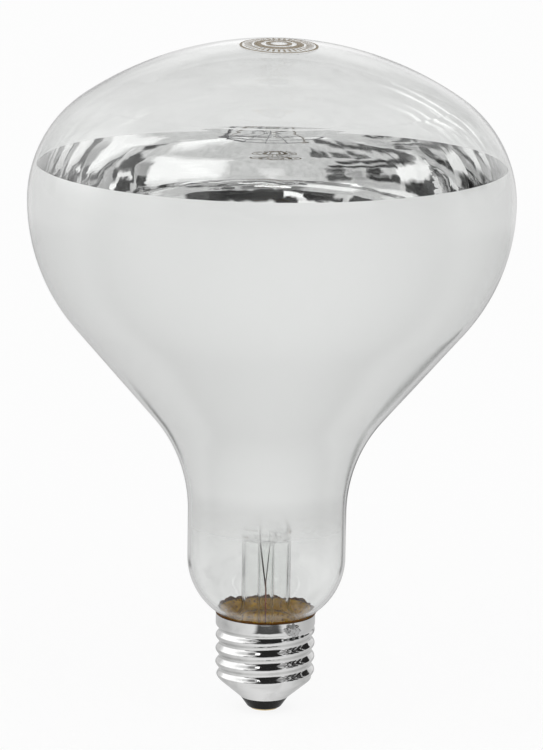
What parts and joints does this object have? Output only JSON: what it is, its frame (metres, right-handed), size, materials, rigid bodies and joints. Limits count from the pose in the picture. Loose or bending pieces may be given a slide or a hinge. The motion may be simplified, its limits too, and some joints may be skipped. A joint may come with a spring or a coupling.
{
  "type": "infrared heat lamp bulb",
  "caption": "Clear-faced infrared reflector lamp: a blown bulb silvered inside, with a glass stem, leads and filament, on a 27 mm screw cap.",
  "frame": {"origin": "middle of the centre contact's outer face, on the lamp's axis", "axes": "+Z along the lamp's axis from the cap to the clear face; -Y towards the viewer of the picture, with the solder on the skirt to the right of it"},
  "size_m": [0.126, 0.126, 0.1769],
  "materials": {
    "clear_glass": "clear, polished",
    "mirror_film": "evaporated aluminium",
    "stem_glass": "clear, fire polished",
    "tungsten": "drawn, dull",
    "molybdenum": "drawn",
    "nickel": "drawn",
    "copper": "drawn, heat tinted",
    "cap_metal": "bright nickel plate",
    "black_glass": "glossy black",
    "brass": "pressed",
    "solder": "dull, lumpy",
    "cement": "baked, rough"
  },
  "bodies": {
    "root": {"glass_bulb": "clear_glass", "glass_neck": "clear_glass", "mirror_coating": "mirror_film", "stem_press": "stem_glass", "exhaust_tube": "stem_glass", "arbor_rod": "stem_glass", "filament": "tungsten", "inner_lead_a": "nickel", "inner_lead_b": "nickel", "seal_wire_a": "copper", "seal_wire_b": "copper", "shell_lead": "copper", "contact_lead": "copper", "screw_shell": "cap_metal", "base_insulator": "black_glass", "centre_contact": "brass", "tip_solder": "solder", "side_solder": "solder", "basing_cement": "cement", "support_wire_1": "molybdenum", "support_wire_2": "molybdenum", "support_wire_3": "molybdenum", "support_wire_4": "molybdenum", "support_wire_5": "molybdenum", "support_wire_6": "molybdenum"}
  },
  "joints": []
}
